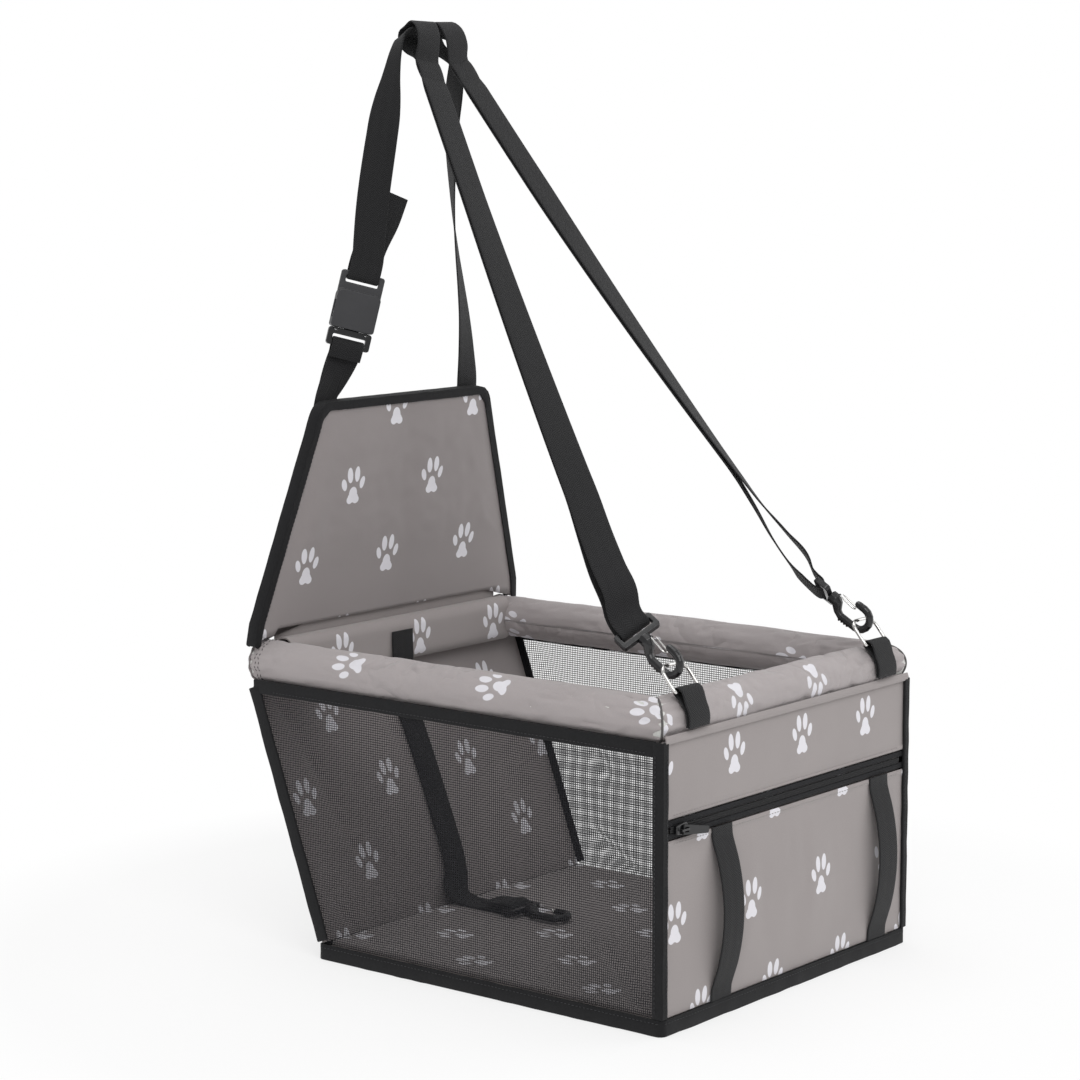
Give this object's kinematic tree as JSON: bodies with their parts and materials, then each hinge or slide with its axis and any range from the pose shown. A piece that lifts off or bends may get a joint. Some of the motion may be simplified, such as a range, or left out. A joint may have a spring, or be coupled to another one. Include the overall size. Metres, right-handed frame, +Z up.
{
  "type": "dog car seat",
  "caption": "Open fabric basket with net sides, padded tube rim, zip pocket, folding backrest and webbing harness with snap hooks, for a small dog on a car seat.",
  "frame": {"origin": "middle of the basket's flat bottom face", "axes": "+Z up, the zip pocket faces -Y, the backrest stands at +Y, +X to the right seen from the front"},
  "size_m": [0.32, 0.4131, 0.714],
  "materials": {
    "grey_cloth": "woven oxford cloth with a white paw print",
    "rim_cloth": "woven oxford cloth, lighter under light",
    "black_tape": "ribbed binding tape",
    "black_net": "fine knitted net",
    "black_webbing": "woven twill webbing",
    "black_plastic": "moulded, glossy",
    "bright_wire": "bright nickel plated wire",
    "white_pipe": "extruded",
    "pale_foam": "open cell foam",
    "grey_board": "hollow board"
  },
  "bodies": {
    "root": {"base_cover": "grey_cloth", "base_board": "grey_board", "base_binding": "black_tape", "floor_pad": "grey_cloth", "front_lining": "grey_cloth", "pocket_panel": "grey_cloth", "pocket_flap": "grey_cloth", "rear_wall": "grey_cloth", "net_left": "black_net", "net_right": "black_net", "front_binding_left": "black_tape", "front_binding_right": "black_tape", "rear_binding_left": "black_tape", "rear_binding_right": "black_tape", "net_binding_left": "black_tape", "net_binding_right": "black_tape", "rim_sleeve_front": "rim_cloth", "rim_sleeve_left": "rim_cloth", "rim_sleeve_right": "rim_cloth", "rim_foam_front": "pale_foam", "rim_foam_left": "pale_foam", "rim_foam_right": "pale_foam", "rim_pipe_front": "white_pipe", "rim_pipe_left": "white_pipe", "rim_pipe_right": "white_pipe", "rear_channel": "grey_cloth", "rear_pipe": "white_pipe", "zip_tape_lower": "black_tape", "zip_tape_upper": "black_tape", "zip_chain": "black_plastic", "belt_loop_left": "black_webbing", "belt_loop_right": "black_webbing", "ring_tab_left": "black_webbing", "ring_tab_right": "black_webbing", "hook_eye_left": "black_plastic", "hook_eye_right": "black_plastic", "front_strap_left": "black_webbing", "front_strap_right": "black_webbing", "tether_strap": "black_webbing", "tether_eye": "black_plastic", "tether_hook": "black_plastic"},
    "backrest": {"backrest_cover": "grey_cloth", "backrest_board": "grey_board", "backrest_binding": "black_tape", "headrest_strap": "black_webbing", "buckle_strap": "black_webbing", "buckle_socket": "black_plastic", "buckle_plug": "black_plastic"},
    "zip_slider": {"zip_slider": "black_plastic"},
    "zip_pull": {"zip_pull": "black_plastic"},
    "ring_left": {"ring_left": "bright_wire"},
    "ring_right": {"ring_right": "bright_wire"},
    "hook_left": {"hook_left": "black_plastic"},
    "hook_right": {"hook_right": "black_plastic"},
    "hook_gate_left": {"hook_gate_left": "bright_wire"},
    "hook_gate_right": {"hook_gate_right": "bright_wire"},
    "tether_gate": {"tether_gate": "bright_wire"},
    "prong_left": {"prong_left": "black_plastic"},
    "prong_right": {"prong_right": "black_plastic"}
  },
  "joints": [
    {"name": "backrest_fold", "type": "hinge", "parent": "root", "child": "backrest", "pos_m": [0, 0.197, 0.2465], "axis": [1, 0, 0], "range_deg": [0, 80], "deforming": ["front_strap_left", "front_strap_right"]},
    {"name": "zip_slide", "type": "slide", "parent": "root", "child": "zip_slider", "axis": [1, 0, 0], "range_m": [0, 0.279]},
    {"name": "zip_pull_swing", "type": "hinge", "parent": "zip_slider", "child": "zip_pull", "pos_m": [-0.14, -0.2033, 0.147], "axis": [-0.1736, 0, -0.9848], "range_deg": [0, 165]},
    {"name": "ring_left_tilt", "type": "hinge", "parent": "root", "child": "ring_left", "pos_m": [-0.122, -0.1927, 0.24213], "axis": [1, 0, 0], "range_deg": [-4, 4]},
    {"name": "ring_right_tilt", "type": "hinge", "parent": "root", "child": "ring_right", "pos_m": [0.122, -0.1927, 0.24213], "axis": [1, 0, 0], "range_deg": [-4, 4]},
    {"name": "hook_left_swivel", "type": "hinge", "parent": "root", "child": "hook_left", "pos_m": [-0.12017, -0.15247, 0.27466], "axis": [-0.0599, -0.8556, -0.5141], "range_deg": [-32, 32]},
    {"name": "hook_right_swivel", "type": "hinge", "parent": "root", "child": "hook_right", "pos_m": [0.12017, -0.15247, 0.27466], "axis": [0.0599, -0.8556, -0.5141], "range_deg": [-32, 32]},
    {"name": "hook_gate_left_press", "type": "hinge", "parent": "hook_left", "child": "hook_gate_left", "pos_m": [-0.1205, -0.16042, 0.27724], "axis": [0.9982, -0.0513, -0.0309], "range_deg": [0, 25], "stiffness_Nm_per_rad": 0.02, "springref_deg": -11.46},
    {"name": "hook_gate_right_press", "type": "hinge", "parent": "hook_right", "child": "hook_gate_right", "pos_m": [0.1205, -0.16042, 0.27724], "axis": [0.9982, 0.0513, 0.0309], "range_deg": [0, 25], "stiffness_Nm_per_rad": 0.02, "springref_deg": -11.46},
    {"name": "tether_gate_press", "type": "hinge", "parent": "root", "child": "tether_gate", "pos_m": [0.0003, 0.04148, 0.0199], "axis": [0, 0, -1], "range_deg": [0, 25], "stiffness_Nm_per_rad": 0.02, "springref_deg": -11.46},
    {"name": "prong_left_squeeze", "type": "hinge", "parent": "backrest", "child": "prong_left", "pos_m": [-0.0586, 0.16624, 0.47211], "axis": [-0.5974, -0.7992, 0.0671], "range_deg": [0, 5.5], "stiffness_Nm_per_rad": 0.1, "springref_deg": -2.86},
    {"name": "prong_right_squeeze", "type": "hinge", "parent": "backrest", "child": "prong_right", "pos_m": [-0.07695, 0.18047, 0.47818], "axis": [0.5974, 0.7992, -0.0671], "range_deg": [0, 5.5], "stiffness_Nm_per_rad": 0.1, "springref_deg": -2.86}
  ]
}
